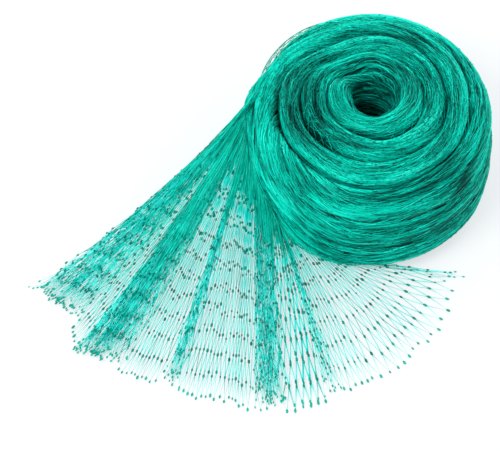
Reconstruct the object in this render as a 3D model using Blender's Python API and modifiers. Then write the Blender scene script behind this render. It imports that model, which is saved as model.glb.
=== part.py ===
"""A roll of knotted bird netting standing on its end, with its outer end fanned out on the floor."""
import math
from collections import namedtuple

import bmesh
import bpy
from mathutils import Vector

MM = 0.001
TAU = math.tau

# The roll: its middle on the floor, and the turned shape that holds all its turns (metres)
ROLL_X = 0.0695
ROLL_Y = 0.0500
ROLL_RADIUS = 0.0750
ROLL_HEIGHT = 0.0880
CENTRE_RISE = 0.0040
TOP_ROUNDING = 0.0280
BASE_ROUNDING = 0.0180

# The wound band: from the middle outwards, its last turn thins to nothing where the loose end takes over
TURNS = 4
BAND_END_ANGLE = math.radians(172)
END_THICKNESS = 0.0016
TURN_GAP = 0.0006
STEPS_PER_TURN = 40
SHOULDER_DROP = 0.0062
SHOULDER_PER_HALF_WIDTH = 1.2
FULL_HALF_WIDTH = 0.0060
BASE_DROP = 0.0010
RAMP_ANGLE = math.radians(25)

# The line between each turn and the next one out: its distance from the roll's middle (mm) at four places
# The places are in degrees wound past the left, and each turn steps out between its back and the left
LINE_PLACES = (0, 90, 180, 300)
TurnLine = namedtuple("TurnLine", "name left front right back")
TURN_LINES = (
    TurnLine("first turn", 15.0, 16.0, 17.0, 19.5),
    TurnLine("second turn", 28.5, 30.5, 31.5, 33.0),
    TurnLine("third turn", 44.3, 46.5, 45.5, 47.5),
    TurnLine("fourth turn", 57.5, 61.5, 60.0, 62.5),
)

# Slow unevenness of the band's upper edge: height and waves per radian wound
Wave = namedtuple("Wave", "height rate shift")
LUMPS = (Wave(0.0008, 2.3, 0.0), Wave(0.0006, 5.1, 1.0))

# Across the band, -1 is its inner side and 1 its outer side
# Up its outer side, 0 is the base and 1 the shoulder
TOP_STEPS = (-1.0, -0.8, -0.4, 0.1, 0.5, 0.76, 0.92, 1.0)
SIDE_STEPS = (0.85, 0.66, 0.48, 0.30, 0.14)
BASE_STEPS = (1.0, 0.8, 0.45, -0.6, -1.0)
BASE_FLAT = 0.6
INNER_STEPS = (0.5,)

# Creases round the outer wall: place up the side and depth
CREASE_SPREAD = 0.09
Crease = namedtuple("Crease", "name height depth")
WALL_CREASES = (
    Crease("under the shoulder", 1.00, 0.0020),
    Crease("middle of the wall", 0.48, 0.0009),
)

# Places where the turns stand apart: which turn, where round it, how wide and how much deeper the groove is
# The groove is steep on the turn inside it and reaches further over the turn outside it
Slack = namedtuple("Slack", "name turn angle spread depth")
SLACKS = (
    Slack("front of the second turn", 2, 302, 34, 0.0100),
    Slack("right of the third turn", 3, 352, 30, 0.0090),
    Slack("left of the third turn", 3, 222, 34, 0.0070),
    Slack("back of the third turn", 3, 115, 34, 0.0060),
    Slack("right of the fourth turn", 4, 348, 26, 0.0075),
    Slack("left of the fourth turn", 4, 200, 24, 0.0040),
)
SLACK_REACH_IN = 4.0
SLACK_REACH_OUT = 2.2

# The loose end: a thin sheet that leaves the wall along a slanting line and ends on the floor
NET_THICKNESS = 0.0012
WALL_CLEARANCE = 0.0004
SAG_POWER = 1.3
TANGENT_SHARE = 0.03
GUIDE_SHARE = 0.40
LENGTH_LEVELS = (0.0, 0.05, 0.12, 0.21, 0.33, 0.57, 0.80, 1.0)
FIRST_OPEN_LEVEL = 0.33
EDGE_ROW_DEPTH = 0.4
STRAND_WIDTH = 0.0011
SMALLEST_WINDOW = 0.0022

# Each row starts one section of the fan: where it leaves the roll (degrees and mm up the wall),
# where it ends on the floor (mm from the roll's middle), its cells, whether it is open, and its crown (mm)
Section = namedtuple("Section", "name angle height end_x end_y cells is_open crown")
FAN = (
    Section("left bundle", 172, 77, -214, -85, 3, False, 4.0),
    Section("left window", 174, 71, -187, -116, 2, True, 0.0),
    Section("main bundle", 176, 67, -187, -132, 4, False, 6.0),
    Section("second window", 179, 63, -157, -145, 4, True, 0.0),
    Section("tip bundle", 182, 59, -132, -157, 2, False, 3.5),
    Section("middle window", 185, 55, -120, -161, 3, True, 0.0),
    Section("middle window, front", 188, 51, -98, -167, 4, True, 0.0),
    Section("broad bundle", 192, 46, -74, -173, 3, False, 4.5),
    Section("front window", 214, 34, -53, -175, 4, True, 0.0),
    Section("thin bundle", 219, 26, -29, -166, 2, False, 2.5),
    Section("corner window", 222, 23, -17, -160, 3, True, 0.0),
    Section("right window, front", 228, 19, 0, -151, 4, True, 0.0),
    Section("right window, middle", 237, 14, 21, -141, 4, True, 0.0),
    Section("right window, back", 248, 10, 39, -121, 4, True, 0.0),
    Section("right bundle", 262, 5, 58, -83, 2, False, 2.0),
    Section("right edge", 267, 3, 64, -75, 0, False, 0.0),
)

# The finish of the green nylon, densely wound or lying open, and how the meshes are welded and shaded
WOUND_GREEN = (0.0, 0.33, 0.22, 1.0)
OPEN_GREEN = (0.02, 0.45, 0.34, 1.0)
NYLON_ROUGHNESS = 0.42
SHARP_ANGLE = math.radians(50)
SAME_PLACE = 1e-7


def clamp(value, low=0.0, high=1.0):
    return max(low, min(high, value))


def wall_radius(height):
    """Radius of the roll's outer wall at a height."""
    if height < BASE_ROUNDING:
        return ROLL_RADIUS - BASE_ROUNDING + math.sqrt(BASE_ROUNDING**2 - (BASE_ROUNDING - height)**2)
    above = clamp(height - (ROLL_HEIGHT - TOP_ROUNDING), 0.0, TOP_ROUNDING)
    return ROLL_RADIUS - TOP_ROUNDING + math.sqrt(TOP_ROUNDING**2 - above**2)


def top_height(radius):
    """Height of the roll's top at a radius: a low dome with a rounded rim."""
    flat_radius = ROLL_RADIUS - TOP_ROUNDING
    if radius < flat_radius:
        return ROLL_HEIGHT + CENTRE_RISE * (1 - (radius / flat_radius)**2)
    over = min(radius - flat_radius, TOP_ROUNDING)
    return ROLL_HEIGHT - TOP_ROUNDING + math.sqrt(TOP_ROUNDING**2 - over**2)


def base_height(radius):
    """Height of the roll's underside at a radius: flat, with a rounded rim."""
    over = clamp(radius - (ROLL_RADIUS - BASE_ROUNDING), 0.0, BASE_ROUNDING)
    return BASE_ROUNDING - math.sqrt(BASE_ROUNDING**2 - over**2)


def line_knots():
    """The places (angle wound, radius) that the line between the turns passes through."""
    knots = []
    for turn, line in enumerate(TURN_LINES):
        for place, radius in zip(LINE_PLACES, line[1:]):
            knots.append((turn * TAU + math.radians(place), radius * MM))
    return knots + [(TURNS * TAU, ROLL_RADIUS - END_THICKNESS)]


def turn_line(winding):
    """Radius of the line between a turn and the next one out, by the angle wound from the middle."""
    knots = line_knots()
    winding = clamp(winding, 0.0, TURNS * TAU)
    for (before, inner), (after, outer) in zip(knots, knots[1:]):
        if winding <= after:
            share = (winding - before) / (after - before)
            return inner + (outer - inner) * share * share * (3 - 2 * share)
    return knots[-1][1]


def band_sides(winding):
    """Inner and outer radius of the band at a winding angle."""
    inner = turn_line(winding - TAU) + TURN_GAP / 2
    outer = turn_line(winding) - TURN_GAP / 2
    last_turn = winding - TURNS * TAU
    if last_turn > 0:
        outer += (END_THICKNESS + TURN_GAP / 2) * clamp(last_turn / RAMP_ANGLE)
    inner = min(inner, outer - END_THICKNESS)
    return inner, outer


def slack_drop(winding, boundary_turn):
    """How much deeper the groove is here, for the groove on the outside of the given turn."""
    angle = math.degrees(winding + BAND_END_ANGLE) % 360
    drop = 0.0
    for slack in SLACKS:
        if slack.turn == boundary_turn:
            apart = abs((angle - slack.angle + 180) % 360 - 180)
            drop += slack.depth * math.exp(-(apart / slack.spread)**2)
    return drop


def band_section(winding):
    """The band's cross-section as (radius, height) points: over the top, down, under and up inside."""
    inner, outer = band_sides(winding)
    middle, half = (inner + outer) / 2, (outer - inner) / 2
    turn = int(winding // TAU) + 1
    fullness = clamp(half / FULL_HALF_WIDTH)
    shoulder = min(SHOULDER_DROP, SHOULDER_PER_HALF_WIDTH * half)
    lump = sum(wave.height * math.sin(wave.rate * winding + wave.shift) for wave in LUMPS)
    wall_share = clamp((winding - (TURNS - 1) * TAU) / RAMP_ANGLE)
    deepest_dent = max(outer - inner - END_THICKNESS, 0.0)

    def top(across):
        side_slack = slack_drop(winding, turn if across > 0 else turn - 1)
        reach = SLACK_REACH_IN if across > 0 else SLACK_REACH_OUT
        drop = shoulder * abs(across)**4 + side_slack * fullness * abs(across)**reach
        drop += SHOULDER_DROP * (1 - fullness)
        return top_height(middle + half * across) + lump * fullness - drop

    def base(across):
        edge = clamp((abs(across) - BASE_FLAT) / (1 - BASE_FLAT))
        return base_height(middle + half * across) + min(BASE_DROP, half / 2) * edge**2

    def side_dent(share):
        dent = 0.0
        for crease in WALL_CREASES:
            dent += crease.depth * math.exp(-((share - crease.height) / CREASE_SPREAD)**2)
        return min(dent * wall_share, deepest_dent)

    points = [(middle + half * across, top(across)) for across in TOP_STEPS[:-1]]
    top_corner, base_corner = top(1.0), base(1.0)
    for share in (1.0,) + SIDE_STEPS:
        height = base_corner + (top_corner - base_corner) * share
        points.append((outer - side_dent(share), height))
    points += [(middle + half * across, base(across)) for across in BASE_STEPS]
    for share in INNER_STEPS:
        points.append((inner, base(-1.0) + (top(-1.0) - base(-1.0)) * share))
    return points


def wound_place(winding, radius, height):
    angle = winding + BAND_END_ANGLE
    return Vector((ROLL_X + radius * math.cos(angle), ROLL_Y + radius * math.sin(angle), height))


def make_object(name, bm, collection, colour):
    """Turn a bmesh into a smooth shaded object with its own nylon material."""
    mesh = bpy.data.meshes.new(name)
    bm.to_mesh(mesh)
    bm.free()
    piece = bpy.data.objects.new(name, mesh)
    collection.objects.link(piece)
    material = bpy.data.materials.new(name)
    material.use_nodes = True
    shader = material.node_tree.nodes["Principled BSDF"]
    shader.inputs["Base Color"].default_value = colour
    shader.inputs["Roughness"].default_value = NYLON_ROUGHNESS
    shader.inputs["Metallic"].default_value = 0.0
    mesh.materials.append(material)
    mesh.shade_smooth()
    mesh.set_sharp_from_angle(angle=SHARP_ANGLE)
    return piece


def grid_steps(bm, x_cells, y_cells):
    """A flat grid with each vertex paired with its column and row."""
    bmesh.ops.create_grid(bm, x_segments=x_cells, y_segments=y_cells, size=0.5)

    def step(place, cells):
        return round((place + 0.5) * cells)

    return [(vert, step(vert.co.x, x_cells), step(vert.co.y, y_cells)) for vert in bm.verts]


def make_roll(collection):
    """Roll a grid into a tube with the band's section, wound from the middle outwards."""
    steps = (TURNS + 1) * STEPS_PER_TURN
    sections = [band_section(TAU * step / STEPS_PER_TURN) for step in range(steps + 1)]
    count = len(sections[0])
    bm = bmesh.new()
    for vert, step, corner in grid_steps(bm, steps, count):
        radius, height = sections[step][corner % count]
        vert.co = wound_place(TAU * step / STEPS_PER_TURN, radius, height)
    bmesh.ops.remove_doubles(bm, verts=bm.verts, dist=SAME_PLACE)
    bmesh.ops.holes_fill(bm, edges=[edge for edge in bm.edges if edge.is_boundary])
    bmesh.ops.recalc_face_normals(bm, faces=bm.faces)
    return make_object("net_roll", bm, collection, WOUND_GREEN)


def fan_column(column):
    """The section that a column of the fan lies in, and how far across it."""
    start = 0
    for section, following in zip(FAN, FAN[1:]):
        if column <= start + section.cells:
            return section, following, (column - start) / section.cells
        start += section.cells
    return FAN[-2], FAN[-1], 1.0


def fan_point(column, along):
    """A point of the loose end's middle surface: from the wall (along 0) to its edge on the floor (1)."""
    section, following, share = fan_column(column)

    def blend(field):
        return getattr(section, field) * (1 - share) + getattr(following, field) * share

    angle, height = math.radians(blend("angle")), blend("height") * MM
    radius = wall_radius(height) + WALL_CLEARANCE + NET_THICKNESS / 2
    leaves = Vector((radius * math.cos(angle), radius * math.sin(angle)))
    ends = Vector((blend("end_x"), blend("end_y"))) * MM
    reach = (ends - leaves).length
    guide = leaves + Vector((-math.sin(angle), math.cos(angle))) * reach * TANGENT_SHARE
    guide += (ends - leaves) * GUIDE_SHARE
    flat = leaves * (1 - along)**2 + guide * 2 * along * (1 - along) + ends * along**2
    floor = NET_THICKNESS / 2
    crown = section.crown * MM * math.sin(math.pi * share)**2 * clamp(along / FIRST_OPEN_LEVEL)
    sag = floor + (height - floor) * (1 - along)**SAG_POWER
    return Vector((ROLL_X + flat.x, ROLL_Y + flat.y, sag + crown))


def fan_along(row):
    """Distance along the net for a row, which may lie half way between two levels."""
    low = min(int(row), len(LENGTH_LEVELS) - 2)
    return LENGTH_LEVELS[low] + (LENGTH_LEVELS[low + 1] - LENGTH_LEVELS[low]) * (row - low)


def make_loose_end(collection):
    """Turn a grid into a diamond net, drape it, and open the diamonds in the fan's windows."""
    columns = sum(section.cells for section in FAN)
    rows = len(LENGTH_LEVELS) - 1
    bm = bmesh.new()
    grid_steps(bm, columns, rows)
    square_edges = [edge for edge in bm.edges if not edge.is_boundary]
    bmesh.ops.poke(bm, faces=bm.faces)
    bmesh.ops.dissolve_edges(bm, edges=square_edges)

    windows, notches = [], []
    for face in bm.faces:
        middle = face.calc_center_median()
        column, row = (middle.x + 0.5) * columns, (middle.y + 0.5) * rows
        if not fan_column(column)[0].is_open or fan_along(row) < FIRST_OPEN_LEVEL:
            continue
        if len(face.verts) == 4:
            windows.append(face)
        elif row > rows - EDGE_ROW_DEPTH:
            notches.append(face)
    bmesh.ops.delete(bm, geom=notches, context="FACES")
    for vert in bm.verts:
        vert.co = fan_point((vert.co.x + 0.5) * columns, fan_along((vert.co.y + 0.5) * rows))
    bm.normal_update()

    windows = [face for face in windows if window_width(face) > SMALLEST_WINDOW + STRAND_WIDTH]
    bmesh.ops.inset_individual(bm, faces=windows, thickness=STRAND_WIDTH / 2, use_even_offset=True)
    bmesh.ops.delete(bm, geom=windows, context="FACES")
    bmesh.ops.recalc_face_normals(bm, faces=bm.faces)
    if sum(face.normal.z * face.calc_area() for face in bm.faces) < 0:
        bmesh.ops.reverse_faces(bm, faces=bm.faces)
    piece = make_object("net_loose_end", bm, collection, OPEN_GREEN)
    solidify = piece.modifiers.new("thickness", "SOLIDIFY")
    solidify.thickness = NET_THICKNESS
    solidify.offset = 0.0
    print("windows cut:", len(windows))
    return piece


def window_width(face):
    """The shorter of a diamond's two diagonals."""
    corners = [vert.co for vert in face.verts]
    return min((corners[0] - corners[2]).length, (corners[1] - corners[3]).length)


def main():
    for old in list(bpy.data.objects):
        bpy.data.objects.remove(old)
    collection = bpy.data.collections.new("bird_netting_roll")
    bpy.context.scene.collection.children.link(collection)
    make_roll(collection)
    make_loose_end(collection)


main()
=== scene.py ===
import math

import bpy
import numpy as np
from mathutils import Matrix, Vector


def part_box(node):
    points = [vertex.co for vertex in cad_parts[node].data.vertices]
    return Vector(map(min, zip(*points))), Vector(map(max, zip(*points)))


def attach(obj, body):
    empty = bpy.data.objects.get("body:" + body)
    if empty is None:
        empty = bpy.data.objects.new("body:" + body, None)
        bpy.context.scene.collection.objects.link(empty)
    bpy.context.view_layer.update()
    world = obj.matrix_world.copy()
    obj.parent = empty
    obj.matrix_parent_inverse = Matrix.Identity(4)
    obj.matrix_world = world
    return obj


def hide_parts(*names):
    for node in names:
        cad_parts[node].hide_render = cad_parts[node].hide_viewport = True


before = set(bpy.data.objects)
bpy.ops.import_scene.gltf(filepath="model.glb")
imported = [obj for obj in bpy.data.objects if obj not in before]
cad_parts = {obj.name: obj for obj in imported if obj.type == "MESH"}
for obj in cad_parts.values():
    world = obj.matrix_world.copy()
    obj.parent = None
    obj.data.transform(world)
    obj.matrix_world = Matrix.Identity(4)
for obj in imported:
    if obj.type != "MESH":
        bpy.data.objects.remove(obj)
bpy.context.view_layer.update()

fullTurn = 2 * math.pi
mm = 0.001
print("frame loaded")


def clamp(value):
    return np.clip(value, 0, 1)


def ease(value):
    value = clamp(value)
    return value * value * (3 - 2 * value)


def makeNoise(seed, cells=64):
    # smooth noise from -1 to 1 over a plane, the same each run
    table = np.random.default_rng(seed).uniform(-1, 1, (cells, cells))

    def noise(x, y):
        x, y = np.broadcast_arrays(np.asarray(x, float), np.asarray(y, float))
        left, low = np.floor(x).astype(int), np.floor(y).astype(int)
        across, up = ease(x - left), ease(y - low)

        def level(row):
            return table[left % cells, row] * (1 - across) + table[(left + 1) % cells, row] * across

        return level(low % cells) * (1 - up) + level((low + 1) % cells) * up
    return noise


def unit(vectors):
    return vectors / np.maximum(np.linalg.norm(vectors, axis=-1, keepdims=True), 1e-12)


def bump(value, middle, width):
    return np.exp(-((value - middle) / width)**2)


def degreesApart(angle, other):
    return np.abs((angle - other + 180) % 360 - 180)


def nearAngle(angle, place, spread):
    return bump(degreesApart(angle, place), 0, spread)


def turnedBack(value):
    # kept from 0 to 1 by turning back at either end
    value = np.abs(value) % 2
    return np.where(value > 1, 2 - value, value)


# the wound band, on the same lines as its solid
roll = {
    "radius": 0.075, "height": 0.088, "centreRise": 0.004,
    "topRounding": 0.028, "baseRounding": 0.018,
    "turns": 4, "startAngle": math.radians(172),
    "endThickness": 0.0016, "gap": 0.0006, "rampAngle": math.radians(25),
    "shoulderDrop": 0.0062, "shoulderPerHalfWidth": 1.2, "fullHalfWidth": 0.006,
    "linePlaces": (0, 90, 180, 300),  # degrees wound past the left
    "turnLines": [  # mm from the middle: left, front, right, back
        (15.0, 16.0, 17.0, 19.5),
        (28.5, 30.5, 31.5, 33.0),
        (44.3, 46.5, 45.5, 47.5),
        (57.5, 61.5, 60.0, 62.5),
    ],
    "lumps": [(0.8, 2.3, 0), (0.6, 5.1, 1)],  # waves of the band's top: mm, per radian wound, shift
    "slacks": [  # groove outside which turn, degrees, spread, depth in mm
        (2, 302, 34, 10.0), (3, 352, 30, 9.0), (3, 222, 34, 7.0),
        (3, 115, 34, 6.0), (4, 348, 26, 7.5), (4, 200, 24, 4.0),
    ],
    "topWander": (24, 1.3), "wallWander": (30, 2.2),  # how the folds stray: degrees, mm
    "wallStrength": (22, 0.75, 0.7),  # how the wall's folds come and go: degrees, mean, change
    "topFolds": [  # radius in mm, degrees, spread, depth in mm, width in mm
        (35.5, 190, 40, 2.2, 1.3), (52.0, 195, 34, 1.9, 1.2), (66.0, 5, 40, 1.8, 1.2),
        (38.5, 30, 30, 1.6, 1.1), (68.0, 240, 26, 0.9, 1.0), (24.0, 50, 50, 1.2, 1.2),
        (54.5, 300, 36, 1.3, 1.0), (69.5, 116, 32, 0.8, 1.0), (40.0, 255, 26, 1.4, 1.2),
        (53.0, 75, 34, 1.5, 1.1), (63.5, 270, 24, 2.2, 1.2), (69.5, 293, 20, 2.2, 1.1),
        (60.5, 203, 40, 1.8, 1.2), (72.0, 186, 16, 1.2, 1.0), (44.0, 215, 28, 1.9, 1.2),
    ],
    "wallFolds": [  # height in mm, rise towards the sides, depth in mm, width in mm
        (59, 5, 2.8, 1.6), (52, 3, 0.8, 1.0), (46, 2, 1.5, 1.2), (39, 1, 0.8, 1.0),
        (32, 1, 1.5, 1.2), (25, 0, 0.7, 1.0), (16, 0, 0.9, 1.3),
    ],
    "wallDents": [(0.0, 2.0), (0.52, 0.9)], "dentWidth": 0.09,  # share down the wall, mm
    "smoothPlace": (178, 46, 0.85),  # under the loose end: degrees, spread, share
    "looseSpot": (137, 15, 2.8, 50, 20),  # slack shoulder: degrees, spread, depth, foot and rise in mm
    "paintedLightAndShade": [  # patches of painted highlight and painted shade: degrees, spread, radius in mm, spread in mm, change of tone
        (208, 26, 70, 10, 0.16), (178, 20, 76, 6, -0.04), (95, 50, 68, 14, 0.33),
        (172, 34, 48, 13, -0.12), (22, 36, 60, 11, 0.05), (262, 60, 62, 12, 0.02),
        (270, 50, 26, 8, 0.02), (335, 40, 75, 5, -0.12), (270, 66, 75, 7, -0.08),
    ],
}
rollCentre = np.array(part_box("net_roll")[1])[:2] - roll["radius"]
axisFoot = np.append(rollCentre, 0)
topRounding, baseRounding = roll["topRounding"], roll["baseRounding"]
startAngle, endThickness = roll["startAngle"], roll["endThickness"]
# where the flat top and the flat bottom end
flatRadius, rimRadius = roll["radius"] - topRounding, roll["radius"] - baseRounding
allTurns = roll["turns"] * fullTurn

lineKnots = [(allTurns, roll["radius"] - endThickness)]
for index, line in enumerate(roll["turnLines"]):
    for place, radius in zip(roll["linePlaces"], line):
        lineKnots.append((index * fullTurn + math.radians(place), radius * mm))
lineWindings, lineRadii = np.array(sorted(lineKnots)).T


def turnLine(winding):
    winding = np.clip(winding, 0, allTurns)
    after = np.clip(np.searchsorted(lineWindings, winding, side="right"), 1, len(lineWindings) - 1)
    share = (winding - lineWindings[after - 1]) / (lineWindings[after] - lineWindings[after - 1])
    return lineRadii[after - 1] + (lineRadii[after] - lineRadii[after - 1]) * ease(share)


def bandSides(winding):
    inner = turnLine(winding - fullTurn) + roll["gap"] / 2
    ramp = clamp((winding - allTurns) / roll["rampAngle"])
    outer = turnLine(winding) - roll["gap"] / 2 + (endThickness + roll["gap"] / 2) * ramp
    return np.minimum(inner, outer - endThickness), outer


def halfWidth(winding):
    inner, outer = bandSides(winding)
    return (outer - inner) / 2


def topHeight(radius):
    dome = roll["centreRise"] * (1 - clamp(radius / flatRadius)**2)
    over = np.clip(radius - flatRadius, 0, topRounding)
    return roll["height"] - topRounding + np.sqrt(topRounding**2 - over**2) + dome


def baseHeight(radius):
    over = np.clip(radius - rimRadius, 0, baseRounding)
    return baseRounding - np.sqrt(baseRounding**2 - over**2)


def wallRadius(height):
    under = np.clip(baseRounding - height, 0, baseRounding)
    above = np.clip(height - (roll["height"] - topRounding), 0, topRounding)
    inset = baseRounding - np.sqrt(baseRounding**2 - under**2)
    return roll["radius"] - inset - topRounding + np.sqrt(topRounding**2 - above**2)


def slackDrop(angle, boundary):
    return sum((boundary == turn) * depth * mm * nearAngle(angle, place, spread)
               for turn, place, spread, depth in roll["slacks"])


# metres wound, so that patterns along the band keep their scale from the middle outwards
leastRadius = 0.014
windingSteps = np.linspace(0, allTurns + fullTurn, 2001)
stepRadii = np.maximum(sum(bandSides(windingSteps)) / 2, leastRadius)
woundLengths = np.concatenate([[0], np.cumsum(stepRadii[1:] * np.diff(windingSteps))])

lockNoise, toneNoise, fineNoise, broadNoise = makeNoise(3), makeNoise(4), makeNoise(5), makeNoise(6)


def wallRoughness(angle):
    place, spread, share = roll["smoothPlace"]
    return 1 - share * nearAngle(angle, place, spread)


def bandSection(winding, track):
    # the band's smooth surface, and how far it lies below the roll's top: track is metres across the
    # band's top and on down either side
    inner, outer = bandSides(winding)
    middle, half = (inner + outer) / 2, (outer - inner) / 2
    angle = np.degrees(winding + startAngle) % 360
    fullness = clamp(half / roll["fullHalfWidth"])
    turnIndex = np.floor(winding / fullTurn) + 1
    onTop = np.clip(track / half, -1, 1)
    isOut = track > 0

    shoulder = np.minimum(roll["shoulderDrop"], roll["shoulderPerHalfWidth"] * half)
    slack = slackDrop(angle, np.where(isOut, turnIndex, turnIndex - 1)) * fullness
    drop = shoulder * np.abs(onTop)**4 + slack * np.abs(onTop)**np.where(isOut, 4.0, 2.2)
    lump = sum(high * mm * np.sin(often * winding + shift) for high, often, shift in roll["lumps"])
    radius = middle + half * onTop
    height = topHeight(radius) + lump * fullness - drop - roll["shoulderDrop"] * (1 - fullness)

    down = np.maximum(np.abs(track) - half, 0)
    foot = baseHeight(radius)
    run = np.maximum(height - foot, 1e-4)
    onSide = clamp(down / run)
    sunk = topHeight(radius) - height + np.minimum(down, run)
    height -= run * onSide
    wallShare = clamp((winding - (roll["turns"] - 1) * fullTurn) / roll["rampAngle"])
    wide = roll["dentWidth"]
    dent = sum(depth * mm * bump(onSide, place, wide) for place, depth in roll["wallDents"]) * (down > 0)
    dent += roll["wallDents"][0][1] * mm * bump(onTop, 1, wide) * (down <= 0)
    dent = dent * wallShare * wallRoughness(angle)
    radius = radius - isOut * np.minimum(dent, np.maximum(outer - inner - endThickness, 0))

    # under the foot the outermost turn rounds inwards, the others run flat
    under = np.clip(down - run, 0, half + 0.02)
    startTurn = np.arcsin(clamp((radius - rimRadius) / baseRounding))
    leftTurn = np.maximum(startTurn - under / baseRounding, 0)
    flatRun = np.clip(under - startTurn * baseRounding, 0, half)
    rounded = np.where(startTurn > 0, rimRadius + baseRounding * np.sin(leftTurn), radius) - flatRun
    isUnder = under > 0
    radius = np.where(isUnder, np.where(isOut, rounded, radius + np.minimum(under, half)), radius)
    height = np.where(isUnder, baseHeight(radius), height)
    return radius, height, sunk, angle


def foldDepth(winding, track, radius, height, angle):
    # the smaller folds pressed into the top and the outer wall, in metres
    isTop = np.abs(track) < halfWidth(winding) * 1.1
    isOuter = (winding > allTurns - fullTurn * 0.1) & (track > 0)
    depth = np.zeros_like(radius)
    every, stray = roll["topWander"]
    for place, middle, spread, deep, width in roll["topFolds"]:
        wander = stray * mm * broadNoise(angle / every + place, place)
        near = nearAngle(angle, middle, spread)
        depth += isTop * deep * mm * near * bump(radius, place * mm + wander, width * mm)
    every, stray = roll["wallWander"]
    comes, mean, change = roll["wallStrength"]
    for place, rise, deep, width in roll["wallFolds"]:
        away = degreesApart(angle, 270) / 90
        level = (place + rise * away**2 + stray * broadNoise(angle / every + place, place * 0.37)) * mm
        strength = np.clip(mean + change * broadNoise(angle / comes + place, place * 1.71), 0.1, 1.2)
        depth += isOuter * deep * mm * strength * wallRoughness(angle) * bump(height, level, width * mm)
    return depth + (isOuter & (winding > allTurns)) * looseDent(angle, height)


def looseDent(angle, height):
    # where the turns have slipped away under a slack patch of net
    place, spread, deep, foot, rise = roll["looseSpot"]
    return deep * mm * ease((height - foot * mm) / (rise * mm)) * nearAngle(angle, place, spread)


# patterns on the band: metres along it and across it, and how strong they are
grain = {
    "twist": (0.09, 0.03, 0.004), "lock": (0.055, 0.0030, 1), "creaseGaps": (0.05, 0.008, 0.8),
    "fine": (0.02, 0.0011, 0.2), "toneLock": (0.032, 0.0021, 0.15), "toneFine": (0.014, 0.0008, 0.18),
    "toneBroad": (0.05, 0.012, 0.16),
    "lockHigh": 0.4, "creaseDeep": 0.7, "creaseWidth": 0.13, "creaseShare": 0.6,  # the first two in mm
    # painted shade: how much darker the creases between locks and the pressed-in folds are
    "middleTone": 0.5, "creasePaintedShade": 0.30, "foldPaintedShade": 0.30,
    "holeShade": (0.62, 0.05), "turnShade": (0.38, 0.018),  # darker by, and metres deep for all of it
}
offFloor = 0.0002


def grainAt(name, noise, length, across, shift=(0, 0)):
    lengthScale, acrossScale, strength = grain[name]
    return strength * noise(length / lengthScale + shift[0], across / acrossScale + shift[1])


def aroundAxis(radius, angle, height):
    return np.stack([radius * np.cos(angle), radius * np.sin(angle), height], -1)


def acrossBand(winding, track, nudge):
    before, after = bandSection(winding, track - nudge), bandSection(winding, track + nudge)
    return np.stack([after[0] - before[0], after[1] - before[1]], -1)


def bandPlace(winding, track, lift):
    # the points of threads lying on the band, the way out from it, and their tone, with painted shade in
    # the hole, the grooves, the creases and the folds
    radius, height, sunk, angle = bandSection(winding, track)
    slope = unit(acrossBand(winding, track, 2e-4))
    outR, outZ = -slope[..., 1], slope[..., 0]

    length = np.interp(winding, windingSteps, woundLengths)
    twist = track + grainAt("twist", broadNoise, length, track)
    lock = grainAt("lock", lockNoise, length, twist)
    gaps = grainAt("creaseGaps", broadNoise, length, twist, (0, 5))
    crease = bump(lock, 0, grain["creaseWidth"]) * clamp(grain["creaseShare"] + gaps)
    fine = grainAt("fine", fineNoise, length, twist)
    fold = foldDepth(winding, track, radius, height, angle)
    out = lift + (grain["lockHigh"] * lock - grain["creaseDeep"] * crease + fine) * mm - fold
    radius = radius + outR * out
    height = np.maximum(height + outZ * out, offFloor)

    turned = winding + startAngle
    way = aroundAxis(outR, turned, outZ)
    tone = grain["middleTone"] + grainAt("toneLock", toneNoise, length, twist)
    tone += grainAt("toneFine", fineNoise, length, twist)
    tone += grainAt("toneBroad", broadNoise, length, track, (9, 0))
    # painted shade: darker in the creases, deeper in the hole and the grooves between turns, and in the
    # pressed-in folds
    tone -= grain["creasePaintedShade"] * crease
    inHole = (winding < fullTurn) & (track < 0)
    onWall = (winding > allTurns) & (track > 0)
    holeShade, holeDepth = grain["holeShade"]
    turnShade, turnDepth = grain["turnShade"]
    depth = np.where(inHole, sunk / holeDepth, np.where(onWall, 0, sunk / turnDepth))
    tone -= np.where(inHole, holeShade, turnShade) * clamp(depth)
    tone -= grain["foldPaintedShade"] * clamp(fold / (2 * mm))
    # painted highlights and painted shade, patch by patch
    for place, spread, reach, width, change in roll["paintedLightAndShade"]:
        tone += change * nearAngle(angle, place, spread) * bump(radius, reach * mm, width * mm)
    return aroundAxis(radius, turned, height) + axisFoot, way, tone


# meshes of many threads or knots, from arrays

def fill(parts, name, values, kind=np.float32):
    parts.foreach_set(name, values.astype(kind).ravel())


def setTones(mesh, tones, spots):
    # each point's tone, and its place on the map that the materials are baked to
    fill(mesh.attributes.new("tone", "FLOAT", "POINT").data, "value", tones)
    corners = np.empty(len(mesh.loops), np.int32)
    mesh.loops.foreach_get("vertex_index", corners)
    fill(mesh.uv_layers.new(name="OFBake").uv, "vector", spots[corners])


def meshFrom(name, corners, quads, tris, tones, spots):
    mesh = bpy.data.meshes.new(name)
    mesh.vertices.add(len(corners))
    fill(mesh.vertices, "co", corners)
    loops = np.concatenate([quads.ravel(), tris.ravel()])
    mesh.loops.add(len(loops))
    fill(mesh.loops, "vertex_index", loops, np.int32)
    sizes = np.concatenate([np.full(len(quads), 4), np.full(len(tris), 3)])
    mesh.polygons.add(len(sizes))
    fill(mesh.polygons, "loop_start", np.cumsum(sizes) - sizes, np.int32)
    fill(mesh.polygons, "loop_total", sizes, np.int32)
    fill(mesh.polygons, "use_smooth", np.ones(len(sizes)), bool)
    mesh.update(calc_edges=True)
    setTones(mesh, tones, spots)
    piece = bpy.data.objects.new(name, mesh)
    bpy.context.collection.objects.link(piece)
    return piece


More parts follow.
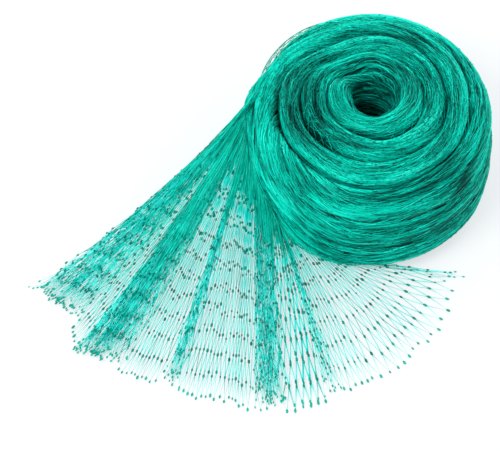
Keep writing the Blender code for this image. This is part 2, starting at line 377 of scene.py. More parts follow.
def ownSpots(count, along, around):
    # each thread or knot has its own small square of the map
    side = math.ceil(math.sqrt(count))
    cell = np.arange(count)[:, None]
    u = cell % side + 0.1 + 0.8 * along
    v = cell // side + 0.1 + 0.8 * around
    return np.stack([u, v], -1).reshape(-1, 2) / side


def uprightFor(directions):
    # up, or along X where the direction itself points up
    return np.where(np.abs(directions[..., 2:3]) > 0.9, [1.0, 0, 0], [0, 0, 1.0])


def joinThreads(name, paths, radii, tones, ways=None):
    # three-sided threads along the paths, closed at both ends
    strands, count = paths.shape[:2]
    radii = np.atleast_1d(radii)
    radii = np.broadcast_to(radii.reshape(len(radii), -1), (strands, count))
    padded = paths[:, [0, *range(count), -1]]
    ahead = unit(padded[:, 2:] - padded[:, :-2])
    sideways = unit(np.cross(ahead, uprightFor(ahead) if ways is None else ways))
    upward = np.cross(sideways, ahead)
    turns = fullTurn * np.arange(3) / 3 + math.pi / 2
    rings = [radii[..., None] * (sideways * math.cos(a) + upward * math.sin(a)) for a in turns]
    corners = np.stack([paths + ring for ring in rings], 2).reshape(-1, 3)
    start = np.arange(strands)[:, None] * count * 3
    first = start + np.arange(count - 1) * 3
    quads = first[..., None, None] + [(0, 1, 4, 3), (1, 2, 5, 4), (2, 0, 3, 5)]
    caps = np.vstack([start + [2, 1, 0], start + (count - 1) * 3 + [0, 1, 2]])
    spots = ownSpots(strands, np.repeat(np.linspace(0, 1, count), 3), np.tile([0, 0.5, 1], count))
    tones = np.repeat(np.broadcast_to(tones.reshape(strands, -1), (strands, count)).ravel(), 3)
    return meshFrom(name, corners, quads.reshape(-1, 4), caps, tones, spots)


def joinKnots(name, places, directions, sizes, tones):
    # one lumpy bead for each knot, longer along the thread
    bpy.ops.mesh.primitive_ico_sphere_add(subdivisions=1, radius=1)
    bead = bpy.context.active_object
    shape = np.array([vert.co for vert in bead.data.vertices])
    faces = np.array([list(face.vertices) for face in bead.data.polygons])
    bpy.data.objects.remove(bead)
    sideways = unit(np.cross(directions, uprightFor(directions)))
    upward = np.cross(sideways, directions)
    frameOf = np.stack([directions, sideways, upward], 1)
    corners = np.einsum("vk,nk,nkj->nvj", shape, sizes, frameOf) + places[:, None]
    tris = (faces + (np.arange(len(places)) * len(shape))[:, None, None]).reshape(-1, 3)
    spots = ownSpots(len(places), (shape[:, 0] + 1) / 2, (shape[:, 1] + 1) / 2)
    tones = np.repeat(tones, len(shape))
    return meshFrom(name, corners.reshape(-1, 3), np.zeros((0, 4), int), tris, tones, spots)


def setInputs(node, inputs):
    for key, value in inputs.items():
        if isinstance(value, Wire):
            node.id_data.links.new(value.socket, node.inputs[key])
        else:
            node.inputs[key].default_value = value


def newShader(name):
    material = bpy.data.materials.new(name)
    material.use_nodes = True
    return material, material.node_tree.nodes["Principled BSDF"]


class Wire:
    # one socket of a material, so that sums on it read as sums
    def __init__(self, tree, socket=None):
        self.tree, self.socket = tree, socket

    def node(self, kind, settings=None, inputs=None, output=0):
        made = self.tree.nodes.new(kind)
        for key, value in (settings or {}).items():
            if key == "stops":
                ramp = made.color_ramp
                while len(ramp.elements) < len(value):
                    ramp.elements.new(0.5)
                for element, (place, colour) in zip(ramp.elements, value):
                    element.position, element.color = place, (*colour, 1)
            else:
                setattr(made, key, value)
        setInputs(made, inputs or {})
        return Wire(self.tree, made.outputs[output])

    def maths(self, operation, first, second=0.0):
        return self.node("ShaderNodeMath", {"operation": operation}, {0: first, 1: second})

    def __add__(self, other):
        return self.maths("ADD", self, other)

    def __radd__(self, other):
        return self.maths("ADD", other, self)

    def __sub__(self, other):
        return self.maths("SUBTRACT", self, other)

    def __rsub__(self, other):
        return self.maths("SUBTRACT", other, self)

    def __mul__(self, other):
        return self.maths("MULTIPLY", self, other)

    def __rmul__(self, other):
        return self.maths("MULTIPLY", other, self)

    def __truediv__(self, other):
        return self.maths("DIVIDE", self, other)


# the nylon's greens: roughness, the scale of its clouds and their share of the tone, and a ramp of colours
# from dark to light by the tone that each thread carries
nylons = {
    "woundNylon": (0.32, 60.0, 0.30, [
        (0.0, (0, 0.035, 0.028)), (0.20, (0, 0.17, 0.125)), (0.46, (0, 0.55, 0.41)),
        (0.72, (0, 0.86, 0.66)), (1.0, (0.04, 1.0, 0.84))]),
    # a darker copy of the nylon for the packed turns: painted shade
    "packedNylon": (0.45, 60.0, 0.2, [
        (0.0, (0, 0.015, 0.012)), (0.5, (0, 0.19, 0.14)), (1.0, (0, 0.55, 0.41))]),
    "looseNylon": (0.30, 45.0, 0.3, [
        (0.0, (0, 0.20, 0.16)), (0.45, (0, 0.76, 0.69)), (1.0, (0.08, 1.0, 0.92))]),
    "knotNylon": (0.35, 80.0, 0.3, [
        (0.0, (0, 0.10, 0.075)), (0.5, (0, 0.25, 0.185)), (1.0, (0, 0.42, 0.32))]),
}
finish = {
    "shine": {"IOR": 1.53, "Specular Tint": (0.10, 1.0, 0.85, 1)},
    "roughSpread": 0.2,
    # streaks of the packed turns: per turn, metres across, share of the tone, and relief
    "streakLength": 2.2, "streakWidth": 0.0012, "streakShare": 0.9, "streakBump": 0.8, "streakHigh": 0.0006,
}


def nylonMaterial(name):
    roughness, cloudScale, cloudShare, stops = nylons[name]
    material, shader = newShader(name)
    wire = Wire(material.node_tree)
    place = wire.node("ShaderNodeTexCoord", output="Object")
    tone = wire.node("ShaderNodeAttribute", {"attribute_name": "tone"}, output="Fac")
    cloud = wire.node("ShaderNodeTexNoise", inputs={"Vector": place, "Scale": cloudScale, "Detail": 3.0})
    mixed = tone + (cloud - 0.5) * cloudShare
    if name == "packedNylon":
        streak = rollStreaks(wire, place)
        mixed += (streak - 0.5) * finish["streakShare"]
        lump = wire.node("ShaderNodeBump", inputs={
            "Strength": finish["streakBump"], "Distance": finish["streakHigh"], "Height": streak})
        setInputs(shader, {"Normal": lump})
    colour = wire.node("ShaderNodeValToRGB", {"stops": stops}, {"Fac": mixed})
    rough = cloud * finish["roughSpread"] + (roughness - finish["roughSpread"] / 2)
    setInputs(shader, {"Base Color": colour, "Roughness": rough, **finish["shine"]})
    return material


def rollStreaks(wire, place):
    # fine streaks that run round the roll
    def vectorMaths(operation, inputs, output=0):
        return wire.node("ShaderNodeVectorMath", {"operation": operation}, inputs, output)

    centred = vectorMaths("SUBTRACT", {0: place, 1: axisFoot})
    flat = vectorMaths("MULTIPLY", {0: centred, 1: (1, 1, 0)})
    radius = vectorMaths("LENGTH", {0: flat}, "Value")
    outward = vectorMaths("NORMALIZE", {0: flat})
    around = vectorMaths("SCALE", {0: outward, "Scale": finish["streakLength"]})
    height = wire.node("ShaderNodeSeparateXYZ", inputs={"Vector": centred}, output="Z")
    level = (radius - height) / finish["streakWidth"]
    upward = wire.node("ShaderNodeCombineXYZ", inputs={"Z": level})
    spot = vectorMaths("ADD", {0: around, 1: upward})
    return wire.node("ShaderNodeTexNoise", inputs={"Vector": spot, "Scale": 1.0, "Detail": 2.0})


# the roll's packed turns, dark between the threads that lie on them: painted shade, by a darker ramp and a
# lower tone
core = {
    "steps": 600, "around": 48, "topShare": 0.5, "sideShare": 0.36, "sideReach": 0.999,
    "sunk": -0.0007, "darker": 0.22,
}


def makePackedTurns():
    bpy.ops.mesh.primitive_grid_add(x_subdivisions=core["steps"], y_subdivisions=core["around"], size=2)
    piece = bpy.context.active_object
    piece.name = "packedTurns"
    mesh = piece.data
    places = np.array([vert.co for vert in mesh.vertices])
    winding = (places[:, 0] + 1) / 2 * (allTurns + fullTurn)
    across = np.clip(places[:, 1], -1, 1)
    isOut, away = across > 0, np.abs(across)

    # over the top, down either side, and under to the middle, where both edges meet
    inner, outer = bandSides(winding)
    half = halfWidth(winding)
    topShare, sideShare = core["topShare"], core["sideShare"]
    side = np.where(isOut, 1.0, -1.0)
    sideLength = bandSection(winding, side * half)[1] - baseHeight(np.where(isOut, outer, inner))
    onTop = across / topShare * half
    downShare = clamp((away - topShare) / sideShare)
    onSide = side * (half + sideLength * downShare * core["sideReach"])
    points, _, tone = bandPlace(winding, np.where(away < topShare, onTop, onSide), core["sunk"])
    under = clamp((away - topShare - sideShare) / (1 - topShare - sideShare))
    flat = points[:, :2] - rollCentre
    reach = np.linalg.norm(flat, axis=1)
    underReach = reach * (1 - under) + (inner + half) * under
    points[:, :2] = rollCentre + flat * (underReach / reach)[:, None]
    points[:, 2] = np.where(under > 0, baseHeight(underReach) + offFloor, points[:, 2])
    fill(mesh.vertices, "co", points)
    # painted shade: the packed turns' tone is lowered below that of the threads on them
    setTones(mesh, tone - core["darker"], (places[:, :2] + 1) / 2)

    bpy.ops.object.mode_set(mode="EDIT")
    bpy.ops.mesh.select_all(action="SELECT")
    bpy.ops.mesh.remove_doubles(threshold=1e-6)
    bpy.ops.mesh.fill_holes(sides=0)
    bpy.ops.mesh.select_all(action="SELECT")
    bpy.ops.mesh.normals_make_consistent(inside=False)
    bpy.ops.object.mode_set(mode="OBJECT")
    bpy.ops.object.shade_smooth()
    return piece


# the threads that lie on the band: turns wound from and to, and track from and to in half widths and mm
strandKeys = ("name", "seed", "count", "turns", "from", "to", "points", "step", "radius", "lift")
strandRows = [
    ("threadsOuterWall", 11, 6600, (4.0, 5.0), (0.6, 0), (1, 82), 5, 7.2, 0.19, 1.2),
    ("threadsOuterTop", 12, 3400, (3.85, 5.0), (-1, -6), (1, 3), 5, 7.0, 0.17, 1.0),
    ("threadsMiddleTurns", 13, 6000, (1.0, 4.0), (-1, -9), (1, 9), 5, 6.6, 0.16, 0.9),
    ("threadsInnerTurn", 14, 2400, (0.0, 1.1), (-1, -58), (1, 8), 6, 4.6, 0.16, 0.8),
]
strands = {
    "flowDown": 0.046, "flowFrom": -10, "flowOver": 105,  # how far the last turn's threads slide down
    "swing": 0.003, "swingOften": 1.3, "seamRise": 6,
    "zigzag": 0.0012, "lean": 0.075, "bar": 0.0142,
    "toneSpread": 0.15, "toneGrain": 0.11, "toneLift": 0.12,
}


def flowShift(winding):
    swept = np.degrees(winding - allTurns)
    down = strands["flowDown"] * ease((swept - strands["flowFrom"]) / strands["flowOver"])
    swing = strands["swing"] * np.sin(winding * strands["swingOften"])
    return np.where(winding > allTurns - 0.5, down, 0.0) + swing


def bandStretch(winding, track):
    # metres along the band's curve for each metre of track
    nudge = 3e-4
    step = acrossBand(winding, track, nudge)
    return np.hypot(step[..., 0], step[..., 1]) / (2 * nudge)


def trackEnds(row, half):
    return [share * half + more * mm for share, more in (row["from"], row["to"])]


def evenShares(row, winding, shares):
    # shares of the way across a turn, spread evenly over its curve
    places = np.linspace(0, 1, 300)
    nearest, farthest = trackEnds(row, halfWidth(winding))
    tracks = nearest + (farthest - nearest) * places
    weights = np.clip(bandStretch(np.full(len(places), winding), tracks), 0.8, 4)
    lengths = np.cumsum(weights) - weights[0]
    return np.interp(shares * lengths[-1], lengths, places)


def roundingTurn(radius):
    # radians round the top's rounding, from where the flat top ends
    return np.arcsin(np.clip((radius - flatRadius) / topRounding, -1, 1))


def alongRounding(winding, past):
    # metres along the curve from the outermost turn's outer edge, for metres of track past it
    outer = bandSides(winding)[1]
    return np.where(past > 0, past, topRounding * (roundingTurn(outer + past) - roundingTurn(outer)))


def pastEdge(winding, along):
    # metres of track past that edge, for metres along the curve
    outer = bandSides(winding)[1]
    turn = roundingTurn(outer) + along / topRounding
    inward = flatRadius + topRounding * np.sin(turn) - outer
    return np.where(along > 0, along, inward)


def wallEdge(winding):
    # half the band's width, and how high its outer side starts
    half = halfWidth(winding)
    return half, bandSection(winding, half)[1]


def wrapWall(winding, track, onWall):
    # a strand that runs past an end of the outermost turn goes on round the wall, level with its other
    # end, and is raised to the roll's full radius
    kept = np.clip(winding, 0.02, allTurns + fullTurn - 0.01)
    half, edge = wallEdge(kept)
    down = track - half
    isWall = onWall[:, None] & (down > 0)
    kept = np.where(isWall, allTurns + (winding - allTurns) % fullTurn, kept)
    half, newEdge = wallEdge(kept)
    down = down + newEdge - edge
    rise = (roll["radius"] - bandSides(kept)[1]) * ease(down / (strands["seamRise"] * mm))
    return kept, np.where(isWall, half + down, track), np.where(isWall, rise, 0)


def makeStrands(row):
    rng = np.random.default_rng(row["seed"])
    count = row["count"]
    firstWinding, lastWinding = np.array(row["turns"]) * fullTurn
    # longer turns hold more threads
    samples = np.linspace(firstWinding, lastWinding, 400)
    lengths = np.interp(samples, windingSteps, woundLengths)
    start = np.interp(rng.uniform(lengths[0], lengths[-1], count), lengths, samples)
    inner, outer = bandSides(start)
    middle, half = (inner + outer) / 2, (outer - inner) / 2
    nearest, farthest = trackEnds(row, half)
    middleWinding = (firstWinding + lastWinding) / 2
    track = nearest + (farthest - nearest) * evenShares(row, middleWinding, rng.random(count))
    steps = (np.arange(row["points"]) - (row["points"] - 1) / 2) * row["step"] * mm
    winding = start[:, None] + steps / np.maximum(middle, leastRadius)[:, None]

    # each strand leans and zigzags, and those on the last turn slide down its wall
    wave = np.abs((steps / strands["bar"] + rng.uniform(0, 4, (count, 1))) % 2 - 1) * 2 - 1
    zigzag = strands["zigzag"] * rng.uniform(0.2, 1, (count, 1)) * wave
    lean = rng.normal(0, strands["lean"], (count, 1)) * steps
    slide = flowShift(winding) - flowShift(start)[:, None]
    sway = lean + zigzag
    onLast = start > allTurns
    level = alongRounding(start, track - half)[:, None] + slide + sway
    lastTrack = halfWidth(winding) + pastEdge(winding, level)
    otherTrack = track[:, None] + slide + sway / np.maximum(bandStretch(start, track), 1)[:, None]
    track = np.where(onLast[:, None], lastTrack, otherTrack)
    winding, track, rise = wrapWall(winding, track, onLast)
    lift = row["lift"] * mm * (0.1 + 0.9 * rng.random((count, 1))**1.3)
    place, way, tone = bandPlace(winding, track, lift + rise)
    tone += rng.normal(0, strands["toneSpread"], (count, 1))
    # painted shade and light: the lower a thread lies the darker it is, the higher the lighter
    tone += strands["toneLift"] * (lift / (row["lift"] * mm) - 0.5)
    tone += rng.normal(0, strands["toneGrain"], tone.shape)
    radii = row["radius"] * mm * rng.uniform(0.75, 1.3, count)
    return joinThreads(row["name"], place, radii, clamp(tone), way)


# small tight knots that catch the eye on the roll
specks = {
    "count": 2600, "seed": 31, "turns": (2.0, 5.0), "size": (0.75, 0.40, 0.34), "lift": 1.0,
    "wallTrack": 0.075, "wallFrom": 0.01, "ahead": 0.03,
}


def makeRollKnots():
    rng = np.random.default_rng(specks["seed"])
    count = specks["count"]
    winding = rng.uniform(*specks["turns"], count) * fullTurn
    wallTrack = rng.uniform(-0.5, 1, count) * specks["wallTrack"] + specks["wallFrom"]
    topTrack = rng.uniform(-1, 1, count) * halfWidth(winding)
    track = np.where(winding > allTurns, wallTrack, topTrack)
    lift = specks["lift"] * mm
    place, _, tone = bandPlace(winding, track, lift)
    further = bandPlace(winding + specks["ahead"], track, lift)[0]
    sizes = np.array(specks["size"]) * mm * rng.uniform(0.7, 1.2, (count, 1))
    return joinKnots("rollKnots", place, unit(further - place), sizes, clamp(tone))


def diamonds(columns, rows, points, wander, stray):
    # a mesh's bars in cells, two from every second crossing, and how far each of their points strays
    along, across = np.meshgrid(np.arange(columns), np.arange(rows), indexing="ij")
    isKnot = (along + across) % 2 == 0
    starts = np.stack([along[isKnot], across[isKnot]], -1).astype(float)
    shares = np.linspace(0, 1, points)[:, None]
    bars = np.vstack([starts[:, None] + shares * [1, side] for side in (-1, 1)])
    along, across = bars[..., 0], bars[..., 1]
    return along, across, wander * broadNoise(along * stray[0], across * stray[1] + stray[2])


# a slack patch of net that stands off the shoulder: degrees, and mm from the edge of the flat top
patch = {
    "degrees": (112, 162), "down": (12, 50), "cell": (4.6, 2.2), "radius": 0.20, "lift": 3.2, "tone": 0.46,
}


def shoulderDistance(height):
    # from the edge of the flat top, over the rounding and down the wall
    rise = height - (roll["height"] - topRounding)
    onRounding = topRounding * np.arccos(clamp(rise / topRounding))
    return np.where(rise > 0, onRounding, topRounding * math.pi / 2 - rise)


def shoulderPlace(distance, off):
    turn = np.clip(distance / topRounding, 0, math.pi / 2)
    below = np.maximum(distance - topRounding * math.pi / 2, 0)
    height = roll["height"] - topRounding * (1 - np.cos(turn)) - below
    return wallRadius(height) + off * np.sin(turn), height + off * np.cos(turn)


def makeLoosePatch():
    first, last = patch["degrees"]
    upper, lower = patch["down"]
    cellLong, cellWide = patch["cell"]
    columns = int(math.radians(last - first) * roll["radius"] / (cellLong * mm))
    rows = int((lower - upper) / cellWide)
    along, across, wander = diamonds(columns, rows, 4, 0.35, (0.9, 0.7, 0))
    share = clamp((along + wander) / columns)
    down = upper + cellWide * (across + wander)
    inside = np.sin(math.pi * share) * np.sin(math.pi * clamp((down - upper) / (lower - upper)))
    radius, height = shoulderPlace(down * mm, (patch["lift"] * inside**0.5 - 1) * mm)
    points = aroundAxis(radius, np.radians(first + (last - first) * share), height) + axisFoot
    return joinThreads("loosePatch", points, patch["radius"] * mm, np.full(len(points), patch["tone"]))


# slack net across the grooves between turns: which turn, degrees from and to, mm past its edge from and to
slackNets = {
    "cell": (3.6, 1.5), "radius": 0.15, "lift": (1.0, 2.6), "seed": 41,
    "tone": 0.72, "toneShare": 0.4, "toneSpread": 0.12,
    "places": [(3, 188, 262, -4, 9), (2, 286, 342, -3, 10), (3, 326, 368, -3, 9), (4, 330, 362, -3, 6)],
}


def makeSlackNets():
    rng = np.random.default_rng(slackNets["seed"])
    cellLong, cellWide = slackNets["cell"]
    least, most = slackNets["lift"]
    parts = []
    for turn, first, last, near, far in slackNets["places"]:
        begin = (turn - 1) * fullTurn + math.radians((first - math.degrees(startAngle)) % 360)
        run = math.radians(last - first)
        columns = int(turnLine(begin) * run / (cellLong * mm))
        rows = int((far - near) / cellWide)
        along, across, wander = diamonds(columns, rows, 3, 0.5, (0.7, 0.6, turn))
        winding = begin + run * clamp((along + wander) / columns)
        track = halfWidth(winding) + (near + cellWide * (across + wander)) * mm
        lift = (least + (most - least) * np.sin(math.pi * clamp(across / rows))) * mm
        points, way, tone = bandPlace(winding, track, lift)
        spread = rng.normal(0, slackNets["toneSpread"], tone.shape)
        parts.append((points, way, slackNets["tone"] + slackNets["toneShare"] * (tone - 0.5) + spread))
    points, ways, tones = (np.vstack(part) for part in zip(*parts))
    return joinThreads("slackNets", points, slackNets["radius"] * mm, clamp(tones), ways)


# the loose end: a row starts one section of the fan, with where it leaves the roll (degrees, mm up the
# wall), where it ends on the floor (mm from the roll's middle), its columns of mesh, the layers they lie
# in, and how high it piles up (mm)
fan = {
    "seed": 21, "bar": 14.2, "edge": 3.0,  # mm from knot to knot, and from the free edge to the first
    "clearance": 0.9, "sagPower": 1.3, "tangentShare": 0.03, "guideShare": 0.40,
    "freeSteps": 30, "wallSteps": 20, "wallRun": 34, "wallEnd": 8, "climbPower": 1.4, "sample": 2.0,
    "shoulder": (7, 57),  # mm from the top's edge where the lines start on the roll
    "startHeights": (3, 43),  # mm up the wall: the lowest line's, and how far the others spread above it
    "standsOff": 0.7, "sinks": 3.4,  # mm more off the wall, and into it where they start
    "offFloor": (0.00045, 0.0003),  # metres, and more in the upper layers
    "pileFrom": 0.33, "pileFalls": 0.45,
    "foldCells": 5.0, "foldSwing": 0.9, "windowSwing": 0.06, "crossing": 0.8, "gather": 0.085,
    "ragged": 0.20, "raggedCells": 3.7, "layerCells": 3.1,
    "knotShift": (2.5, 3.0), "shiftCells": 5.3,  # mm everywhere, and more towards the roll
    "jitterGrows": (0.7, 1.6), "knotStagger": (5.0, 0.2), "knotSize": (1.36, 0.76, 0.58),
    "knotTone": (0.75, 0.4), "knotRest": 0.0006, "knotsOnRoll": 12, "edgeRadius": 0.04,
    # in the windows and in the bundles
    "threadRadius": (0.24, 0.18), "knotJitter": (1.1, 1.5), "knotScale": (1, 0.80),
    "tone": (0.52, 0.66), "toneStreak": (0.03, 0.16), "toneSpread": (0.13, 0.26),
    "nearRoll": 0.10, "onRoll": 0.3, "onRollRun": 0.03,  # darker towards the roll by; painted shade on the roll's wall, darker by, and metres over which
    "sections": [
        ("left bundle", 172, 77, -214, -85, 72, 11, 4.0),
        ("left window", 174, 71, -187, -116, 4, 1, 0),
        ("main bundle", 176, 67, -187, -132, 92, 15, 6.0),
        ("second window", 179, 63, -157, -145, 10, 1, 0),
        ("tip bundle", 182, 59, -132, -157, 22, 9, 3.0),
        ("middle window", 185, 55, -120, -161, 8, 1, 0),
        ("middle window front", 188, 51, -98, -167, 9, 1, 0),
        ("broad bundle", 192, 46, -74, -173, 46, 11, 4.0),
        ("front window", 214, 34, -53, -175, 15, 3, 0),
        ("thin bundle", 219, 26, -29, -166, 13, 5, 2.0),
        ("corner window", 222, 23, -17, -160, 5, 1, 0),
        ("right window front", 228, 19, 0, -151, 4, 1, 0),
        ("right window middle", 237, 14, 21, -141, 5, 1, 0),
        ("right window back", 248, 10, 39, -121, 6, 1, 0),
        ("right bundle", 262, 5, 58, -83, 5, 3, 1.5),
        ("right edge", 267, 3, 64, -75, 0, 1, 0),
    ],
}
sectionAngle, sectionHeight, sectionX, sectionY, sectionColumns, sectionLayers, sectionPile = np.array(
    [row[1:] for row in fan["sections"]], float).T
sectionStarts = np.cumsum(sectionColumns) - sectionColumns
fanColumns = int(sectionColumns.sum())
foldNoise, pileNoise, shiftNoise = makeNoise(51), makeNoise(52), makeNoise(53)


def hump(share):
    # from nothing at both ends to one in the middle
    return np.sin(math.pi * clamp(share))**0.5


def fanLines(column):
    # the way of the net's lines from the free edge over the floor to the roll, and back round its wall
    index = np.clip(np.searchsorted(sectionStarts, column, side="right") - 1, 0, len(sectionStarts) - 2)
    share = clamp((column - sectionStarts[index]) / sectionColumns[index])
    piled = sectionPile[index] > 0
    swing = hump(share) * np.where(piled, fan["foldSwing"], fan["windowSwing"])
    folded = sectionLayers[index] * share + swing * foldNoise(column / fan["foldCells"], index * 3.3)
    ragged = fan["ragged"] * foldNoise(column / fan["raggedCells"], 21.5)
    atEdge = 0.5 + (turnedBack(folded) - 0.5) * (1 + piled * hump(share) * ragged)
    atEdge += fan["gather"] * piled * np.sin(fullTurn * atEdge)
    atWall = turnedBack(folded + fan["crossing"] * swing * foldNoise(column / fan["foldCells"], 40.5))

    def mix(values, place):
        return values[index] * (1 - place) + values[index + 1] * place

    angle, height = np.radians(mix(sectionAngle, atWall)), mix(sectionHeight, atWall) * mm
    layer = 0.5 + 0.5 * pileNoise(column / fan["layerCells"], index * 2.7)
    pile = sectionPile[index] * mm * hump(atEdge) * layer
    leave = shoulderDistance(height)
    radius, height = shoulderPlace(leave, fan["clearance"] * mm)
    leaves = aroundAxis(radius, angle, height)[:, :2]
    ends = np.stack([mix(sectionX, atEdge), mix(sectionY, atEdge)], -1) * mm
    reach = np.linalg.norm(ends - leaves, axis=-1, keepdims=True)
    guide = leaves + np.stack([-np.sin(angle), np.cos(angle)], -1) * reach * fan["tangentShare"]
    guide += (ends - leaves) * fan["guideShare"]

    along = np.linspace(1, 0, fan["freeSteps"])[:, None]
    flat = leaves[:, None] * (1 - along)**2 + guide[:, None] * 2 * along * (1 - along)
    flat += ends[:, None] * along**2
    along = along[..., 0]
    least, more = fan["offFloor"]
    rest = least + more * layer[:, None]
    sag = rest + (height[:, None] - rest) * (1 - along)**fan["sagPower"]
    rise = pile[:, None] * clamp(along / fan["pileFrom"]) * (1 - fan["pileFalls"] * along**2)
    free = np.dstack([flat, sag + rise])

    # on the roll the lines climb to its shoulder and sink in there
    back = np.linspace(0, 1, fan["wallSteps"] + 1)[1:]
    run = (angle - (startAngle - math.radians(fan["wallEnd"]))) + fan["wallRun"] * mm / roll["radius"]
    backAngle = angle[:, None] - back * run[:, None]
    upper, lower = fan["shoulder"]
    lowest, above = fan["startHeights"]
    start = (lower + (upper - lower) * clamp((height / mm - lowest) / above)) * mm
    off = (fan["clearance"] + fan["standsOff"] * ease(4 * back) - fan["sinks"] * back**2) * mm
    down = start[:, None] + (leave - start)[:, None] * (1 - back)**fan["climbPower"]
    backRadius, backHeight = shoulderPlace(down, off)
    wall = aroundAxis(backRadius, backAngle, backHeight)
    lines = np.concatenate([free, wall], 1) + axisFoot

    # at even steps from the free edge
    lengths = np.cumsum(np.linalg.norm(np.diff(lines, axis=1, prepend=lines[:, :1]), axis=2), 1)
    even = np.arange(0, lengths[:, -1].max(), fan["sample"] * mm)
    evenLines = np.array([[np.interp(even, length, axis) for axis in line.T]
                          for length, line in zip(lengths, lines)]).transpose(0, 2, 1)
    layerShift = piled * (0.5 + 0.5 * shiftNoise(folded, index * 2.3)) * fan["bar"] * mm
    return evenLines, lengths[:, fan["freeSteps"] - 1], lengths[:, -1], piled, layerShift


def placeOnLine(lines, index, distance):
    place = np.clip(distance / (fan["sample"] * mm), 0, lines.shape[1] - 1.001)
    before = place.astype(int)
    part = (place - before)[..., None]
    return lines[index, before] * (1 - part) + lines[index, before + 1] * part


def makeLooseNet():
    # every second line holds the knots of every second row, and threads join them into diamonds
    rng = np.random.default_rng(fan["seed"])
    bar = fan["bar"] * mm
    line = np.arange(2 * fanColumns + 1)
    lines, leaving, lengths, piled, layerShift = fanLines(line / 2)
    rowCount = int(lengths.max() / bar) + 1
    row = np.arange(rowCount)

    def forLines(name, index):
        inWindows, inBundles = fan[name]
        return np.where(piled, inBundles, inWindows)[index]

    common, inner = fan["knotShift"]
    wave = shiftNoise(line[:, None] / fan["shiftCells"], row * 0.31)
    least, more = fan["jitterGrows"]
    jitter = forLines("knotJitter", line)[:, None] * (least + more * row / rowCount)
    stagger, first = fan["knotStagger"]
    shift = (common + inner * row / rowCount) * wave
    shift += jitter * np.clip(rng.normal(0, 1, shift.shape), -2, 2)
    shift += stagger * (line // 2 % 2 - 0.5)[:, None] * (first + row / rowCount)
    distance = fan["edge"] * mm + row * bar + shift * mm + layerShift[:, None]
    distance = np.maximum(distance, 0.4 * mm)
    atLine, atRow = np.nonzero(((line[:, None] + row) % 2 == 0) & (distance < lengths[:, None]))
    near = distance[atLine, atRow]
    places = placeOnLine(lines, atLine, near)
    further = placeOnLine(lines, atLine, near + 2 * mm)
    places[:, 2] = np.maximum(places[:, 2], fan["knotRest"])
    scale = forLines("knotScale", atLine) * rng.uniform(0.75, 1.25, len(near))
    sizes = np.array(fan["knotSize"]) * mm * scale[:, None]
    free = near < leaving[atLine] + fan["knotsOnRoll"] * mm
    anyTone, edgeTone = fan["knotTone"]
    knotTones = anyTone * rng.beta(2, 2, len(near)) + edgeTone * (atRow == 0)
    knots = joinKnots("netKnots", places[free], unit(further - places)[free], sizes[free], knotTones[free])

    paths, radii, tones = [], [], []
    streak = pileNoise(line / 2.3, 11.5)
    for side in (-1, 1):
        other = atLine + side
        inside = (other >= 0) & (other < len(line)) & (atRow + 1 < rowCount)
        one, two, lowRow = (values[inside] for values in (atLine, other, atRow))
        reached = distance[two, lowRow + 1] < lengths[two]
        one, two, lowRow = (values[reached] for values in (one, two, lowRow))
        start, end = distance[one, lowRow], distance[two, lowRow + 1]
        path = []
        for share in (0, 0.5, 1):
            between = start + (end - start) * share
            onOne, onTwo = (placeOnLine(lines, index, between) for index in (one, two))
            path.append(onOne * (1 - share) + onTwo * share)
        paths.append(np.stack(path, 1))
        full = forLines("threadRadius", one) * mm * rng.uniform(0.8, 1.2, len(one))
        outer = np.where(lowRow == 0, fan["edgeRadius"] * mm, full)
        radii.append(np.stack([outer, (outer + full) / 2, full], 1))
        tone = forLines("tone", one) - fan["nearRoll"] * clamp(start / leaving[one])
        tone += forLines("toneStreak", one) * streak[one]
        # painted shade where the lines run back onto the roll's wall
        tone -= fan["onRoll"] * ease((start - leaving[one]) / fan["onRollRun"])
        tones.append(tone + forLines("toneSpread", one) * rng.normal(0, 1, len(one)))
    tones = clamp(np.concatenate(tones))
    return joinThreads("netThreads", np.vstack(paths), np.vstack(radii), tones), knots


# the bunched threads that run from the roll into the fan and thin out towards its edge
feed = {
    "seed": 23, "points": 6, "radius": 0.17, "lift": (-1.2, 1.4), "wallStart": 0.9, "stray": 0.9,
    "crossers": 0.38, "crossing": (10, 42), "fillet": 4.2, "filletReach": 20,  # over the crease, mm
    "wallBlend": 0.024, "sway": 0.7, "swayRun": 0.011, "rest": 0.0004,
    "tone": 0.55, "creaseShade": 0.03, "creaseReach": 0.03, "toneSpread": 0.19, "toneGrain": 0.10,
    # for each section its strands, and the share of its length that they reach out to
    "sections": [
        (520, 0.95), (110, 0.35), (1500, 0.97), (240, 0.36), (300, 0.58), (250, 0.32), (280, 0.32),
        (520, 0.60), (150, 0.36), (110, 0.45), (60, 0.20), (45, 0.12), (45, 0.10), (40, 0.10), (30, 0.5),
    ],
}


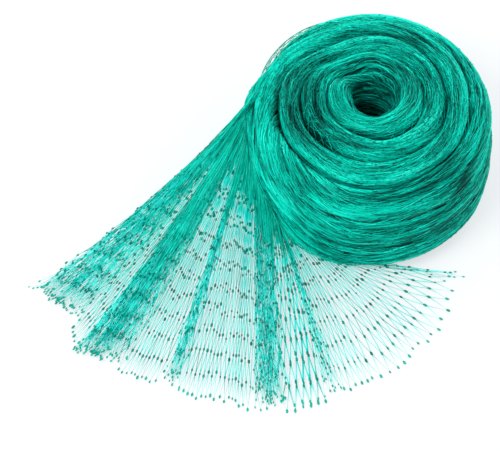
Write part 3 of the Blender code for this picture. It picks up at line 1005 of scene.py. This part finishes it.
def makeFeed():
    rng = np.random.default_rng(feed["seed"])
    counts, reaches = np.array(feed["sections"]).T
    section = np.repeat(np.arange(len(counts)), counts.astype(int))
    count = len(section)
    column = sectionStarts[section] + rng.random(count) * sectionColumns[section]
    column = np.clip(column + rng.normal(0, feed["stray"], count), 0, fanColumns)
    lines, leaving, lengths = fanLines(column)[:3]
    reach = reaches[section] * rng.beta(1.1, 1.5, count)
    outer = leaving * (1 - np.clip(reach, 0, 0.95))
    inner = leaving + (lengths - leaving) * rng.uniform(0.1, feed["wallStart"], count)
    # each strand is a stretch of its line
    share = np.linspace(0, 1, feed["points"])
    stretch = rng.uniform(0.3, 0.7, count)
    begin = outer + (inner - outer) * (1 - stretch) * rng.random(count)
    end = begin + (inner - outer) * stretch
    crosses = rng.random(count) < feed["crossers"]
    outside = rng.uniform(*feed["crossing"], count) * mm * np.minimum(reach / 0.3, 1)
    onRoll = rng.uniform(*feed["crossing"], count) * mm
    begin = np.where(crosses, leaving - outside, begin)
    end = np.where(crosses, leaving + onRoll, end)
    distance = begin[:, None] + (end - begin)[:, None] * share
    past = distance - leaving[:, None]
    paths = placeOnLine(lines, np.arange(count)[:, None], distance)
    lift = rng.uniform(*feed["lift"], (count, 1)) * mm
    fillet = bump(past, 0, feed["filletReach"] * mm) * rng.random((count, 1))**1.4
    lift = lift + feed["fillet"] * mm * fillet
    outward = unit(paths[..., :2] - rollCentre)
    onWall = ease((past + feed["wallBlend"] / 2) / feed["wallBlend"])
    paths[..., :2] += outward * (lift * onWall)[..., None]
    paths[..., 2] += lift * (1 - onWall)
    sway = feed["sway"] * mm * np.sin(distance / feed["swayRun"] + rng.uniform(0, 6.3, (count, 1)))
    paths[..., :2] += np.stack([-outward[..., 1], outward[..., 0]], -1) * sway[..., None]
    paths[..., 2] = np.maximum(paths[..., 2], feed["rest"])
    tones = feed["tone"] - feed["creaseShade"] * bump(past, 0, feed["creaseReach"])
    tones += rng.normal(0, feed["toneSpread"], (count, 1))
    tones += rng.normal(0, feed["toneGrain"], tones.shape)
    radii = feed["radius"] * mm * rng.uniform(0.8, 1.2, count)
    return joinThreads("feedThreads", paths, radii, clamp(tones))


# floor, light and camera
studio = {
    "sky": {"Color": (1, 1, 1, 1), "Strength": 1.0},
    "floorSize": 6, "floorHeight": -0.0004,
    "paper": {"Base Color": (0.31, 0.31, 0.31, 1), "Roughness": 0.9, "Specular IOR Level": 0.1,
              "Emission Color": (0.94, 0.97, 1, 1), "Emission Strength": 0.62},
    # name, place, size and power
    "lights": [("keyLight", (-0.50, -0.45, 1.2), 0.5, 9.0), ("fillLight", (0.9, 0.6, 1.0), 0.8, 4.0)],
    "lightsAimAt": (0.03, 0, 0.03),
    "camera": (-0.0060, -0.98199, 1.5089), "tilt": 32, "lens": 202.34,
}


def makeStudio():
    scene = bpy.context.scene
    scene.view_settings.view_transform = "Standard"
    scene.world = bpy.data.worlds.new("studio")
    scene.world.use_nodes = True
    setInputs(scene.world.node_tree.nodes["Background"], studio["sky"])

    bpy.ops.mesh.primitive_plane_add(size=studio["floorSize"], location=(0, 0, studio["floorHeight"]))
    floor = bpy.context.active_object
    floor.name = "floor"
    paper, shader = newShader("paper")
    setInputs(shader, studio["paper"])
    floor.data.materials.append(paper)

    for name, place, size, power in studio["lights"]:
        light = bpy.data.lights.new(name, "AREA")
        light.size, light.energy = size, power
        lamp = bpy.data.objects.new(name, light)
        lamp.location = place
        aim = Vector(studio["lightsAimAt"]) - Vector(place)
        lamp.rotation_euler = aim.to_track_quat("-Z", "Y").to_euler()
        scene.collection.objects.link(lamp)

    camera = bpy.data.objects.new("camera", bpy.data.cameras.new("camera"))
    x, y, z = studio["camera"]
    camera.location = (x, rollCentre[1] + y, z)
    camera.rotation_euler = (math.radians(studio["tilt"]), 0, 0)
    camera.data.lens = studio["lens"]
    camera.data.clip_end = 20
    scene.collection.objects.link(camera)
    scene.camera = camera


makeStudio()
print("studio ready")
packed = makePackedTurns()
print("turns packed")
rollThreads = [makeStrands(dict(zip(strandKeys, row))) for row in strandRows]
rollThreads += [makeLoosePatch(), makeSlackNets()]
rollKnots = makeRollKnots()
print("roll threads laid")
netThreads, netKnots = makeLooseNet()
feedThreads = makeFeed()
print("loose end laid out")

materials = {name: nylonMaterial(name) for name in nylons}
pieces = [(packed, "packedNylon", "net_wound"), (rollKnots, "knotNylon", "net_wound")]
pieces += [(piece, "woundNylon", "net_wound") for piece in rollThreads + [feedThreads]]
pieces += [(netThreads, "looseNylon", "net_mesh"), (netKnots, "knotNylon", "net_mesh")]
for piece, nylon, slot in pieces:
    piece.data.materials.append(materials[nylon])
    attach(piece, "root")
    piece.data.calc_loop_triangles()
    print(piece.name, len(piece.data.loop_triangles), "triangles")
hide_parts("net_roll")
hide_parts("net_loose_end")
